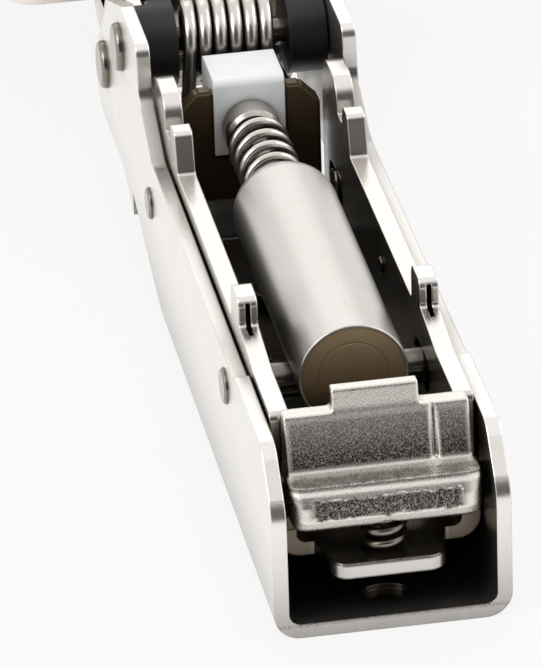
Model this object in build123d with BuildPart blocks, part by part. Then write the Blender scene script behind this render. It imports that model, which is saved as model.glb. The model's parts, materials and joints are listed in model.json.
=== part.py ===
from build123d import *
from math import cos, radians, sin
import os

# Concealed cup hinge with a clip-on arm and a built-in soft-close damper.
# Millimetres. X runs along the arm from its rear mouth to the cup, Y to the
# left, Z up from the outer face of the arm's web, on which the hinge lies.
# The pieces stand as they do with the door fully open.

os.makedirs("parts", exist_ok=True)

# ---------------------------------------------------------------- fits
fixed_fit = 0.02  # radial gap of a pin that is held in its hole
running_fit = 0.05  # radial gap of a pin that turns in its hole
side_gap = 0.1  # gap between flat faces that slide past each other
contact_gap = 0.25  # gap between a pusher and what it pushes

# ---------------------------------------------------------------- hinge arm
arm_width = 16.0
arm_sheet = 1.0
arm_bend = 1.8  # outer radius of the fold between web and flange
arm_height = 12.3
shoulder_rise = 0.5  # the flanges are a little higher at the mouth
shoulder_length = 13.4
mouth_slope = 3.5  # the flange corners slope back at the mouth
mouth_round = 2.6
ramp_start = 47.0
web_length = 58.0
web_rise = 3.5  # the web climbs this far on its ramp
ramp_round = 12.0
nose_floor = 5.4  # lower edge of the flanges past the web
nose_reach = 5.6  # nose tip beyond the outer link's pin
knuckle_rise = 3.6  # top of the knuckle above the spring's axle
knuckle_back = 8.3  # knuckle's rear edge behind the spring's axle
dimple_length = 2.2  # oval dimple in the web, just inside the mouth
dimple_width = 3.2
dimple_depth = 0.45
dimple_x = 3.2

# ---------------------------------------------------------------- pins in the arm
spring_axle_x = 61.8
spring_axle_z = 15.3
spring_axle_radius = 1.0
link_pin_x = 70.0
link_pin_z = 10.2
link_pin_radius = 1.1
rivet_radius = 1.8
rivet_height = 0.5
damper_pin_x = 17.6
damper_pin_z = 10.0
damper_pin_radius = 1.25
guide_pin_x = 49.5  # a stud in each flange
guide_pin_z = 8.5
guide_pin_radius = 1.15
pin_stand = 0.25  # the plain pins stand this far proud of the flanges

# ---------------------------------------------------------------- clip carrier
carrier_gap = 0.15  # between the carrier's walls and the arm's flanges
carrier_wall = 1.3
carrier_sheet = 1.0  # its web, which is pressed thinner
carrier_bend = 1.6
carrier_floor = 3.6  # underside of the carrier's web
carrier_top = 13.4
carrier_rear = 4.6
hook_floor_rise = 2.6  # the hooks' lower edges climb with the arm's ramp
notch_width = 1.6
rear_step_rise = 1.2  # the rear edges step back round the lever's lip
rear_step_length = 0.4
rear_step_drop = 1.4
carrier_travel = 1.3  # depth adjustment, each way
ear_front = 21.0
ear_rise = 2.7
ear_length = 3.0
ear_foot_rise = 0.75  # the wall climbs this far behind the ear
ear_foot_length = 5.2
ear_slit_width = 0.35  # each ear is two layers with an open seam behind
ear_slit_depth = 1.2
hook_length = 6.2
hook_rise = 3.6
hook_clearance = 3.15  # between the hooks and the sleeves, slid fully forward
notch_drop = 1.3  # top of the wall to the floor of the notch, upwards
nub_rise = 2.9  # small tooth behind the notch
nub_length = 1.8
nub_back = 1.9
tongue_reach = 3.8  # tongue behind the carrier's web
tongue_width = 8.8
tongue_chamfer = 1.7
tongue_flare = 0.5

# ---------------------------------------------------------------- release lever
lever_pin_x = 9.6
lever_pin_z = 8.6
lever_pin_radius = 1.2
lever_width = 12.4
lever_top = 13.9
lever_face_x = 4.8
lever_thickness = 1.35
lever_face_drop = 3.6
lever_face_lean = 1.1  # foot of the face behind its top edge
lip_reach = 0.8  # rear face of the lip, from the arm's mouth
lip_width = 12.9
lip_top = 9.9
lip_bottom = 7.0
lip_depth = 3.4
lip_round = 1.0  # lower corners of the lip
lip_margin = 0.45  # chamfer round the lip's front
ridge_step = 0.45
tab_width = 5.8
tab_height = 1.5
tab_lean = 0.4
tab_thickness = 0.85
groove_y = -3.75
groove_width = 0.4
groove_depth = 0.35
cheek_width = 1.4
cheek_radius = 2.1
lever_spring_x = 3.1
lever_spring_radius = 1.8  # over the wire
lever_wire = 0.6
lever_spring_turns = 3.5
lever_spring_seat = 8.5  # floor of the lever's spring pocket

# ---------------------------------------------------------------- adjusting screws
cam_x = 31.0
cam_head_radius = 3.0
cam_flange_radius = 3.8
cam_flange_height = 1.0
cam_pin_radius = 1.2
cam_throw = 1.5
screw_x = 40.0
screw_radius = 2.5
screw_neck_radius = 1.5
screw_button_radius = 2.3
screw_button_height = 0.9
driver_slot = 0.8
driver_depth = 1.2
screw_recess = 0.15  # the screws' lower faces stay above the web's face

# ---------------------------------------------------------------- damper
damper_rear = 12.9
damper_length = 28.1
damper_radius = 3.75
damper_axis_z = 12.2
damper_wall = 0.7
damper_cone = 2.0  # length of the drawn-in front shoulder
neck_radius = 2.4
damper_rim = 0.18  # wall of the tube where the end plug's head sits in it
plug_recess = 0.12
plug_head = 1.0
plug_length = 7.0
rod_radius = 1.0
piston_length = 3.0
piston_gap = 0.06
rod_socket = 2.0  # depth of the rod's end in the block
seat_x = 50.6
seat_radius = 2.1
seat_length = 2.4
rod_spring_radius = 2.3
rod_wire = 0.7
rod_spring_turns = 4.5
block_rear = 53.0
block_front = 58.0
block_width = 5.2
block_top = 15.9
block_bottom = 10.0
foot_bottom = 4.9
foot_top = 7.9
stem_rear = 55.2

# ---------------------------------------------------------------- torsion spring
coil_radius = 2.6  # to the middle of the wire
coil_wire = 1.06
coil_pitch = 1.12
coil_turns = 5.75  # the last quarter turn brings the end to the underside
leg_length = 4.2
sleeve_gap = 0.35
sleeve_radius = 3.15
sleeve_rim = 0.3  # thickness of the rim that shrouds the link's eye

# ---------------------------------------------------------------- links
link_sheet = 1.0
link_width = 3.0
eye_radius = 2.3
inner_eye_radius = 2.0
open_eye_radius = 2.25
open_eye_play = 0.56  # radial play that a constant-ratio linkage needs
open_eye_shift_x = 0.06
open_eye_shift_z = 0.14
inner_link_wall = 6.85  # outer face of the inner link's side walls
outer_bend = 2.0
outer_sag_back = 1.0
outer_sag_drop = 6.3
outer_rise_reach = 6.0
outer_rise_drop = 4.1
outer_knee_reach = 3.0
outer_knee_rise = 0.9
outer_top_rise = 7.0
inner_bend = 1.6
inner_link_width = 2.8
inner_crest_back = 0.6
inner_crest_rise = 6.1
inner_dip_reach = 4.2
inner_dip_rise = 3.15
inner_sag_back = 0.4
inner_sag_drop = 2.35
inner_rise_reach = 3.9
inner_knee_reach = 6.0
inner_knee_rise = 1.6
inner_web_reach = 4.6
inner_web_rise = 5.9
web_shift_x = 0.5  # the links' webs lie on one side of their bands
web_shift_z = 0.87
tail_reach = 0.2
tail_drop = 5.2
tail_radius = 1.2

# ---------------------------------------------------------------- cup
cup_radius = 17.5
cup_wall = 0.8
cup_depth = 12.6
cup_corner = 2.0
cup_x = 96.4
cup_z = 14.2
cup_angle = 93.2  # the cup's face, from its closed position
flange_sheet = 1.0
flange_reach = 19.0  # straight edge, on the door's edge side
flange_edge_width = 29.0
flange_corner = 3.0
flange_radius = cup_radius + 1.2  # round the bowl, between the wings
screw_spacing = 48.0
screw_offset = 6.0
screw_hole_radius = 2.0
wing_radius = 6.5
cup_pin_radius = 1.1
pin_inset = 0.1  # the pins' ends stay inside the bowl's outside
outer_pin_u = 12.1
outer_pin_v = 9.4
inner_pin_u = 12.9
inner_pin_v = 4.1

# ---------------------------------------------------------------- derived values
arm_half = arm_width / 2
arm_inner = arm_half - arm_sheet
carrier_step_x = lever_face_x + lever_thickness + contact_gap  # walls start behind the lever
carrier_half = arm_inner - carrier_gap
carrier_inner = carrier_half - carrier_wall
carrier_length = spring_axle_x - sleeve_radius - hook_clearance - carrier_travel - hook_length
carrier_web_top = carrier_floor + carrier_sheet
slot_half = carrier_travel + running_fit
pin_reach = arm_half + pin_stand
lever_arm_half = carrier_inner - side_gap
coil_length = coil_turns * coil_pitch
coil_half = (coil_length + coil_wire) / 2
sleeve_start = coil_half + sleeve_gap
outer_link_wall = inner_link_wall - link_sheet - side_gap
damper_front = damper_rear + damper_length
bore_radius = damper_radius - damper_wall
rim_radius = damper_radius - damper_rim
knuckle_top = spring_axle_z + knuckle_rise


def cup_point(u, v):
    """World X and Z of a point u towards the door's edge and v into the door."""
    turn = radians(cup_angle)
    return (cup_x - u * sin(turn) + v * cos(turn), cup_z + u * cos(turn) + v * sin(turn))


outer_cup_x, outer_cup_z = cup_point(outer_pin_u, outer_pin_v)
inner_cup_x, inner_cup_z = cup_point(inner_pin_u, inner_pin_v)
cup_plane = Plane(
    origin=(cup_x, 0, cup_z),
    x_dir=(-sin(radians(cup_angle)), 0, cos(radians(cup_angle))),
    z_dir=(cos(radians(cup_angle)), 0, sin(radians(cup_angle))),
)


def side_plane(x, z, y=0.0):
    """A plane square to Y at the given place, with local x along X and y up."""
    return Plane(origin=(x, y, z), x_dir=(1, 0, 0), z_dir=(0, -1, 0))


def top_plane(x, z, y=0.0):
    """A level plane at the given place."""
    return Plane(origin=(x, y, z))


# ---------------------------------------------------------------- hinge arm
# Its outside is the folded channel's side view, as wide as the arm. The hollow
# is taken out between the flanges, one sheet above the web.
arm_bottom = [(0, 0), (ramp_start, 0), (web_length, web_rise), (web_length + 4, nose_floor)]
arm_outline = arm_bottom + [
    (link_pin_x + nose_reach / 2, nose_floor),
    (link_pin_x + nose_reach, link_pin_z - eye_radius),
    (link_pin_x + nose_reach - 1.6, link_pin_z),
    (spring_axle_x + 5.4, spring_axle_z + 1.4),
    (spring_axle_x - 0.6, knuckle_top),
    (spring_axle_x - knuckle_back + 0.2, knuckle_top),
    (spring_axle_x - knuckle_back - 0.4, spring_axle_z - 0.2),
    (spring_axle_x - knuckle_back - 5.5, arm_height),
    (shoulder_length + shoulder_rise, arm_height),
    (shoulder_length, arm_height + shoulder_rise),
    (mouth_slope, arm_height + shoulder_rise),
    (0, arm_height + shoulder_rise - mouth_slope),
]
arm_rounds = [0, ramp_round, 0, 4, 1.5, 1.5, 1.5, 4, 2.5, 1.0, 1.6, 3, 0.3, 0.3, mouth_round, mouth_round]

with BuildPart() as arm_hollow:
    with BuildSketch(Plane.XZ):
        with BuildLine():
            Polyline(
                (-1, arm_sheet),
                (ramp_start, arm_sheet),
                (web_length, web_rise + arm_sheet),
                (web_length, -1),
                (link_pin_x + 2 * nose_reach, -1),
                (link_pin_x + 2 * nose_reach, knuckle_top + 1),
                (-1, knuckle_top + 1),
                close=True,
            )
        make_face()
    extrude(amount=arm_inner, both=True)
    hollow_floor = arm_hollow.edges().filter_by(Plane.XZ).filter_by_position(Axis.X, -1, ramp_start)
    fillet(hollow_floor.group_by(Axis.Z)[0], arm_bend - arm_sheet)

with BuildPart() as hinge_arm:
    with BuildSketch(Plane.XZ):
        with BuildLine():
            FilletPolyline(
                (0, 0),
                (ramp_start, 0),
                (web_length, web_rise),
                (web_length, knuckle_top),
                (0, knuckle_top),
                radius=[0, ramp_round, 0, 0, 0],
                close=True,
            )
        make_face()
    extrude(amount=arm_half, both=True)
    fold_edges = hinge_arm.faces().filter_by(Plane.XZ).edges().filter_by_position(
        Axis.Z, -1, web_rise
    )
    fillet(fold_edges, arm_bend)
    with BuildSketch(side_plane(web_length, 0)):
        Rectangle(arm_width * 2, knuckle_top, align=(Align.MIN, Align.MIN))
    extrude(amount=arm_half, both=True)
    with BuildSketch(Plane.XZ):
        with BuildLine():
            FilletPolyline(*arm_outline, radius=arm_rounds, close=True)
        make_face()
    extrude(amount=arm_half, both=True, mode=Mode.INTERSECT)
    add(arm_hollow.part, mode=Mode.SUBTRACT)
    with BuildSketch(side_plane(spring_axle_x, spring_axle_z)):
        Circle(spring_axle_radius + fixed_fit)
    extrude(amount=arm_half, both=True, mode=Mode.SUBTRACT)
    with BuildSketch(side_plane(link_pin_x, link_pin_z)):
        Circle(link_pin_radius + fixed_fit)
    extrude(amount=arm_half, both=True, mode=Mode.SUBTRACT)
    with BuildSketch(side_plane(damper_pin_x, damper_pin_z)):
        Circle(damper_pin_radius + fixed_fit)
    extrude(amount=arm_half, both=True, mode=Mode.SUBTRACT)
    with BuildSketch(side_plane(guide_pin_x, guide_pin_z)):
        Circle(guide_pin_radius + fixed_fit)
    extrude(amount=arm_half, both=True, mode=Mode.SUBTRACT)
    with BuildSketch(top_plane(cam_x, 0)):
        Circle(cam_head_radius + running_fit)
    extrude(amount=arm_sheet, mode=Mode.SUBTRACT)
    with BuildSketch(top_plane(screw_x, 0)):
        Circle(screw_radius + running_fit)
    extrude(amount=arm_sheet, mode=Mode.SUBTRACT)
    with BuildSketch(top_plane(dimple_x, arm_sheet)):
        Ellipse(dimple_length / 2, dimple_width / 2)
    extrude(amount=-dimple_depth, mode=Mode.SUBTRACT)

# ---------------------------------------------------------------- pins in the arm
with BuildPart() as spring_axle:
    with BuildSketch(side_plane(spring_axle_x, spring_axle_z)):
        Circle(spring_axle_radius)
    extrude(amount=arm_half, both=True)
    for side in (1, -1):
        with BuildSketch(side_plane(spring_axle_x, spring_axle_z, side * arm_half)):
            Circle(rivet_radius)
        extrude(amount=-side * rivet_height)
    fillet(spring_axle.faces().sort_by(Axis.Y)[0].edges(), rivet_height * 0.7)
    fillet(spring_axle.faces().sort_by(Axis.Y)[-1].edges(), rivet_height * 0.7)

with BuildPart() as outer_link_pin:
    with BuildSketch(side_plane(link_pin_x, link_pin_z)):
        Circle(link_pin_radius)
    extrude(amount=arm_half, both=True)
    for side in (1, -1):
        with BuildSketch(side_plane(link_pin_x, link_pin_z, side * arm_half)):
            Circle(rivet_radius)
        extrude(amount=-side * rivet_height)
    fillet(outer_link_pin.faces().sort_by(Axis.Y)[0].edges(), rivet_height * 0.7)
    fillet(outer_link_pin.faces().sort_by(Axis.Y)[-1].edges(), rivet_height * 0.7)

with BuildPart() as damper_pin:
    with BuildSketch(side_plane(damper_pin_x, damper_pin_z)):
        Circle(damper_pin_radius)
    extrude(amount=pin_reach, both=True)
    chamfer(damper_pin.edges().filter_by(GeomType.CIRCLE), pin_stand / 2)

# The front end of the carrier slides on two short studs, one in each flange.
for name, side in (("left_guide_stud", 1), ("right_guide_stud", -1)):
    with BuildPart() as guide_stud:
        with BuildSketch(side_plane(guide_pin_x, guide_pin_z, side * pin_reach)):
            Circle(guide_pin_radius)
        extrude(amount=side * (pin_reach - carrier_inner + pin_stand))
        chamfer(guide_stud.edges().filter_by(GeomType.CIRCLE), pin_stand / 2)
    guide_stud.part.label = name
    export_step(guide_stud.part, f"parts/{name}.step")

# ---------------------------------------------------------------- clip carrier
# A smaller channel nested in the arm. It slides on the damper's pin and the studs.
carrier_hook_end = carrier_length + hook_length
ear_back = ear_front - ear_length
carrier_outline = [
    (carrier_rear, carrier_floor),
    (carrier_length, carrier_floor),
    (carrier_hook_end, carrier_floor + hook_floor_rise),
    (carrier_hook_end, carrier_top + hook_rise),
    (carrier_length + notch_width / 2, carrier_top + hook_rise),
    (carrier_length, carrier_top + notch_drop),
    (carrier_length - notch_width, carrier_top + notch_drop),
    (carrier_length - nub_back, carrier_top + nub_rise),
    (carrier_length - nub_back - nub_length, carrier_top + nub_rise),
    (carrier_length - nub_back - 1.5 * nub_length, carrier_top),
    (ear_front, carrier_top),
    (ear_front, carrier_top + ear_rise),
    (ear_back, carrier_top + ear_rise),
    (ear_back, carrier_top + ear_foot_rise),
    (ear_back - ear_foot_length, carrier_top),
    (carrier_step_x, carrier_top),
    (carrier_step_x, lip_bottom + rear_step_rise),
    (carrier_rear + rear_step_length, lip_bottom - rear_step_drop / 2),
    (carrier_rear, lip_bottom - rear_step_drop),
]
carrier_rounds = [0, 0, 1, 2.2, 2, 0.3, 0.3, 0.6, 0.6, 0.4, 0.4, 0.8, 0.7, 0.4, 3, 0.6, 0.4, 0.3, 0.3]
with BuildPart() as clip_carrier:
    with BuildSketch(Plane.XZ):
        with BuildLine():
            FilletPolyline(*carrier_outline, radius=carrier_rounds, close=True)
        make_face()
    extrude(amount=carrier_half, both=True)
    fillet(clip_carrier.edges().filter_by(Axis.X).group_by(Axis.Z)[0], carrier_bend)
    with BuildSketch(Plane.YZ):
        with Locations((0, carrier_web_top + carrier_top)):
            RectangleRounded(2 * carrier_inner, 2 * carrier_top, carrier_bend - carrier_sheet)
    extrude(amount=carrier_length + 2 * hook_length, mode=Mode.SUBTRACT)
    with BuildSketch(top_plane(carrier_rear, carrier_floor)):
        with BuildLine():
            Polyline(
                (0, tongue_width / 2),
                (-tongue_reach + tongue_chamfer, tongue_width / 2 - tongue_flare),
                (-tongue_reach, tongue_width / 2 - tongue_chamfer),
                (-tongue_reach, -tongue_width / 2 + tongue_chamfer),
                (-tongue_reach + tongue_chamfer, -tongue_width / 2 + tongue_flare),
                (0, -tongue_width / 2),
                close=True,
            )
        make_face()
    extrude(amount=carrier_sheet)
    with BuildSketch(top_plane(ear_back, carrier_top)):
        with GridLocations(0, carrier_half + carrier_inner, 1, 2):
            Rectangle(2 * ear_slit_depth, ear_slit_width)
    extrude(amount=ear_rise - ear_slit_width, mode=Mode.SUBTRACT)
    with BuildSketch(side_plane(lever_pin_x, lever_pin_z)):
        Circle(lever_pin_radius + fixed_fit)
    extrude(amount=arm_half, both=True, mode=Mode.SUBTRACT)
    with BuildSketch(side_plane(damper_pin_x, damper_pin_z)):
        SlotCenterToCenter(2 * slot_half, 2 * (damper_pin_radius + running_fit))
    extrude(amount=arm_half, both=True, mode=Mode.SUBTRACT)
    with BuildSketch(side_plane(guide_pin_x, guide_pin_z)):
        SlotCenterToCenter(2 * slot_half, 2 * (guide_pin_radius + running_fit))
    extrude(amount=arm_half, both=True, mode=Mode.SUBTRACT)
    with BuildSketch(top_plane(cam_x, carrier_floor)):
        SlotCenterToCenter(2 * cam_throw, 2 * cam_pin_radius + 3 * side_gap, rotation=90)
    extrude(amount=carrier_sheet, mode=Mode.SUBTRACT)
    with BuildSketch(top_plane(screw_x, carrier_floor)):
        SlotCenterToCenter(2 * slot_half, 2 * (screw_neck_radius + side_gap))
    extrude(amount=carrier_sheet, mode=Mode.SUBTRACT)

# ---------------------------------------------------------------- release lever
face_foot_x = lever_face_x - lever_face_lean
face_foot_z = lever_top - lever_face_drop
body_front = lever_face_x + lever_thickness
with BuildPart() as release_lever:
    with BuildSketch(Plane.XZ):
        with BuildLine():
            Polyline(
                (lever_face_x, lever_top),
                (face_foot_x, face_foot_z),
                (face_foot_x - 2 * ridge_step, face_foot_z - ridge_step / 2),
                (face_foot_x - 2 * ridge_step, face_foot_z - 2 * ridge_step),
                (body_front, face_foot_z - 2 * ridge_step),
                (body_front, lever_top),
                close=True,
            )
        make_face()
    extrude(amount=lever_width / 2, both=True)
    with BuildSketch(Plane.XZ):
        with BuildLine():
            Polyline(
                (lip_reach + 0.2, lip_top - ridge_step),
                (lip_reach + 2 * ridge_step, lip_top),
                (lip_reach + 2 * ridge_step, lip_top + ridge_step / 2),
                (lip_reach + lip_depth, lip_top + ridge_step / 2),
                (lip_reach + lip_depth, lip_bottom + 0.2),
                (lip_reach + 0.8, lip_bottom),
                (lip_reach, lip_bottom + 0.6),
                close=True,
            )
        make_face()
    extrude(amount=lip_width / 2, both=True)
    with BuildSketch(Plane.YZ):
        with Locations((0, lip_bottom)):
            RectangleRounded(lip_width, 2 * lever_top, lip_round, align=(Align.CENTER, Align.MIN))
    extrude(amount=lever_pin_x, mode=Mode.INTERSECT)
    chamfer(release_lever.faces().sort_by(Axis.X)[0].edges(), lip_margin)
    with BuildSketch(Plane.XZ):
        with BuildLine():
            Polyline(
                (lever_face_x, lever_top - 0.2),
                (lever_face_x + tab_lean, lever_top + tab_height),
                (lever_face_x + tab_lean + tab_thickness, lever_top + tab_height),
                (lever_face_x + tab_lean + tab_thickness, lever_top - 0.2),
                close=True,
            )
        make_face()
    extrude(amount=tab_width / 2, both=True)
    with BuildSketch(Plane.XZ):
        with BuildLine():
            Polyline(
                (lever_pin_x, lever_pin_z + cheek_radius),
                (lip_reach + lip_depth / 2, face_foot_z - ridge_step),
                (lip_reach + lip_depth / 2, lip_bottom + 1.2),
                (lever_pin_x, lever_pin_z - cheek_radius),
                close=True,
            )
        make_face()
        with Locations((lever_pin_x, lever_pin_z)):
            Circle(cheek_radius)
    extrude(amount=lever_arm_half, both=True)
    with BuildSketch(top_plane(body_front, 0)):
        Rectangle(
            4 * lever_pin_x,
            2 * (lever_arm_half - cheek_width),
            align=(Align.MIN, Align.CENTER),
        )
    extrude(amount=lever_top, mode=Mode.SUBTRACT)
    with BuildSketch(side_plane(lever_pin_x, lever_pin_z)):
        Circle(lever_pin_radius + running_fit)
    extrude(amount=lever_arm_half, both=True, mode=Mode.SUBTRACT)
    with BuildSketch(top_plane(lever_spring_x, 0)):
        Circle(lever_spring_radius + side_gap)
    extrude(amount=lever_spring_seat, mode=Mode.SUBTRACT)
    with BuildSketch(Plane.XZ.offset(-groove_y - groove_width / 2)):
        with BuildLine():
            Polyline(
                (lever_face_x - 1, lever_top + 1),
                (lever_face_x + groove_depth, lever_top + 1),
                (face_foot_x + groove_depth, face_foot_z),
                (face_foot_x - 1, face_foot_z),
                close=True,
            )
        make_face()
    extrude(amount=groove_width, mode=Mode.SUBTRACT)

with BuildPart() as lever_pin:
    with BuildSketch(side_plane(lever_pin_x, lever_pin_z)):
        Circle(lever_pin_radius)
    extrude(amount=carrier_half, both=True)

lever_coil_height = lever_spring_seat - carrier_web_top - lever_wire - 2 * fixed_fit
with BuildPart() as lever_spring:
    with BuildLine():
        lever_coil = Helix(
            lever_coil_height / lever_spring_turns,
            lever_coil_height,
            lever_spring_radius - lever_wire / 2,
            center=(lever_spring_x, 0, carrier_web_top + lever_wire / 2 + fixed_fit),
        )
    with BuildSketch(Plane(origin=lever_coil @ 0, z_dir=lever_coil % 0)):
        Circle(lever_wire / 2)
    sweep(is_frenet=True)

# ---------------------------------------------------------------- adjusting screws
# The cam's offset pin shifts the carrier along the arm as the cam is turned.
with BuildPart() as depth_cam:
    with BuildSketch(top_plane(cam_x, screw_recess)):
        Circle(cam_head_radius)
    extrude(amount=arm_sheet + side_gap - screw_recess)
    with BuildSketch(top_plane(cam_x, arm_sheet + side_gap)):
        Circle(cam_flange_radius)
    extrude(amount=cam_flange_height)
    with BuildSketch(top_plane(cam_x, arm_sheet + side_gap + cam_flange_height, cam_throw)):
        Circle(cam_pin_radius)
    extrude(amount=carrier_web_top - arm_sheet - cam_flange_height)
    with BuildSketch(top_plane(cam_x, screw_recess)):
        Rectangle(cam_head_radius * 1.3, driver_slot)
        Rectangle(driver_slot, cam_head_radius * 1.3)
    extrude(amount=driver_depth, mode=Mode.SUBTRACT)

with BuildPart() as side_screw:
    with BuildSketch(top_plane(screw_x, screw_recess)):
        Circle(screw_radius)
    extrude(amount=carrier_floor - side_gap - screw_recess)
    with BuildSketch(top_plane(screw_x, carrier_floor - side_gap)):
        Circle(screw_neck_radius)
    extrude(amount=carrier_sheet + 2 * side_gap)
    with BuildSketch(top_plane(screw_x, carrier_web_top + side_gap)):
        Circle(screw_button_radius)
    extrude(amount=screw_button_height)
    with BuildSketch(top_plane(screw_x, screw_recess)):
        Rectangle(screw_radius * 1.3, driver_slot)
        Rectangle(driver_slot, screw_radius * 1.3)
    extrude(amount=driver_depth, mode=Mode.SUBTRACT)

# ---------------------------------------------------------------- damper
tube_shoulder = damper_front - damper_cone
with BuildPart() as damper_cylinder:
    with BuildSketch(Plane.XZ):
        with BuildLine():
            FilletPolyline(
                (damper_rear, damper_axis_z + rim_radius),
                (damper_rear, damper_axis_z + damper_radius),
                (tube_shoulder, damper_axis_z + damper_radius),
                (damper_front, damper_axis_z + neck_radius),
                (damper_front, damper_axis_z + rod_radius + running_fit),
                (damper_front - damper_wall, damper_axis_z + rod_radius + running_fit),
                (tube_shoulder - damper_wall / 2, damper_axis_z + bore_radius),
                (damper_rear + plug_recess + plug_head, damper_axis_z + bore_radius),
                (damper_rear + plug_recess + plug_head, damper_axis_z + rim_radius),
                radius=[0, damper_rim / 2, 2.2, 0.4, 0, 0, 0.6, 0, 0],
                close=True,
            )
        make_face()
    revolve(axis=Axis((0, 0, damper_axis_z), (1, 0, 0)))
    with BuildSketch(side_plane(damper_pin_x, damper_pin_z)):
        Circle(damper_pin_radius + running_fit)
    extrude(amount=arm_half, both=True, mode=Mode.SUBTRACT)

with BuildPart() as damper_end_plug:
    with BuildSketch(Plane(origin=(damper_rear + plug_recess, 0, damper_axis_z), z_dir=(1, 0, 0))):
        Circle(bore_radius - fixed_fit)
    extrude(amount=plug_length)
    with BuildSketch(Plane(origin=(damper_rear + plug_recess, 0, damper_axis_z), z_dir=(1, 0, 0))):
        Circle(rim_radius - fixed_fit)
    extrude(amount=plug_head - fixed_fit)
    with BuildSketch(side_plane(damper_pin_x, damper_pin_z)):
        Circle(damper_pin_radius + running_fit)
    extrude(amount=arm_half, both=True, mode=Mode.SUBTRACT)

piston_x = damper_rear + damper_length * 0.62
with BuildPart() as piston_rod:
    with BuildSketch(Plane(origin=(piston_x, 0, damper_axis_z), z_dir=(1, 0, 0))):
        Circle(rod_radius)
    extrude(amount=block_rear + rod_socket - piston_x)
    with BuildSketch(Plane(origin=(piston_x, 0, damper_axis_z), z_dir=(1, 0, 0))):
        Circle(bore_radius - piston_gap)
    extrude(amount=piston_length)

with BuildPart() as spring_seat:
    with BuildSketch(Plane(origin=(seat_x, 0, damper_axis_z), z_dir=(1, 0, 0))):
        Circle(seat_radius)
        Circle(rod_radius + fixed_fit, mode=Mode.SUBTRACT)
    extrude(amount=seat_length)
    chamfer(spring_seat.edges().filter_by(GeomType.CIRCLE).group_by(SortBy.RADIUS)[-1], 0.3)

rod_coil_length = seat_x - damper_front - rod_wire - 2 * fixed_fit
with BuildPart() as rod_spring:
    with BuildLine():
        rod_coil = Helix(
            rod_coil_length / rod_spring_turns,
            rod_coil_length,
            rod_spring_radius - rod_wire / 2,
            center=(damper_front + rod_wire / 2 + fixed_fit, 0, damper_axis_z),
            direction=(1, 0, 0),
        )
    with BuildSketch(Plane(origin=rod_coil @ 0, z_dir=rod_coil % 0)):
        Circle(rod_wire / 2)
    sweep(is_frenet=True)

tail_x = link_pin_x + tail_reach
foot_front = tail_x - tail_radius - contact_gap
with BuildPart() as slider_block:
    with BuildSketch(Plane.XZ):
        with BuildLine():
            Polyline(
                (block_rear, block_bottom),
                (block_rear, block_top),
                (block_front, block_top),
                (block_front, foot_top),
                (foot_front, foot_top),
                (foot_front, foot_bottom),
                (web_length + 1.5, foot_bottom),
                (web_length, foot_bottom + arm_sheet),
                (stem_rear, foot_bottom + arm_sheet),
                (stem_rear, block_bottom),
                close=True,
            )
        make_face()
    extrude(amount=block_width / 2, both=True)
    with BuildSketch(Plane(origin=(block_rear, 0, damper_axis_z), z_dir=(1, 0, 0))):
        Circle(rod_radius + fixed_fit)
    extrude(amount=rod_socket + fixed_fit, mode=Mode.SUBTRACT)
    fillet(slider_block.edges().filter_by(Axis.Y).sort_by(Axis.Z)[-2:], 0.6)

# ---------------------------------------------------------------- torsion spring
# The coil is wound about Z, with its first end towards X, and then laid along the
# axle with that end to the rear. One leg runs down, the other runs to the rear.
with BuildPart() as wound_coil:
    with BuildLine():
        coil = Helix(coil_pitch, coil_length, coil_radius, lefthand=True)
    with BuildSketch(Plane(origin=coil @ 0, z_dir=coil % 0)):
        Circle(coil_wire / 2)
    sweep(is_frenet=True)
    with BuildSketch(Plane(origin=coil @ 0, z_dir=coil % 0)):
        Circle(coil_wire / 2)
    extrude(amount=-leg_length)
    with BuildSketch(Plane(origin=coil @ 1, z_dir=coil % 1)):
        Circle(coil_wire / 2)
    extrude(amount=leg_length)

coil_start = Plane(
    origin=(spring_axle_x, coil_length / 2, spring_axle_z), x_dir=(-1, 0, 0), z_dir=(0, -1, 0)
)
with BuildPart() as torsion_spring:
    with Locations(coil_start.location):
        add(wound_coil.part)

# Each sleeve turns on the axle between the coil and the flange. Past the link's
# eye it goes on as a thin half rim, open towards the cup.
for name, side in (("left_sleeve", 1), ("right_sleeve", -1)):
    eye_inner = inner_link_wall - link_sheet - side_gap
    with BuildPart() as sleeve:
        with BuildSketch(side_plane(spring_axle_x, spring_axle_z, side * sleeve_start)):
            Circle(sleeve_radius)
        extrude(amount=-side * (inner_link_wall - sleeve_start))
        with BuildSketch(side_plane(spring_axle_x, spring_axle_z, side * eye_inner)):
            Circle(sleeve_radius - sleeve_rim)
        extrude(amount=-side * (arm_inner - eye_inner), mode=Mode.SUBTRACT)
        with BuildSketch(side_plane(spring_axle_x, spring_axle_z, side * eye_inner)):
            Rectangle(
                2 * sleeve_radius, 4 * sleeve_radius, align=(Align.MIN, Align.CENTER)
            )
        extrude(amount=-side * (arm_inner - eye_inner), mode=Mode.SUBTRACT)
        with BuildSketch(side_plane(spring_axle_x, spring_axle_z)):
            Circle(spring_axle_radius + fixed_fit)
        extrude(amount=arm_half, both=True, mode=Mode.SUBTRACT)
    sleeve.part.label = name
    export_step(sleeve.part, f"parts/{name}.step")

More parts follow.
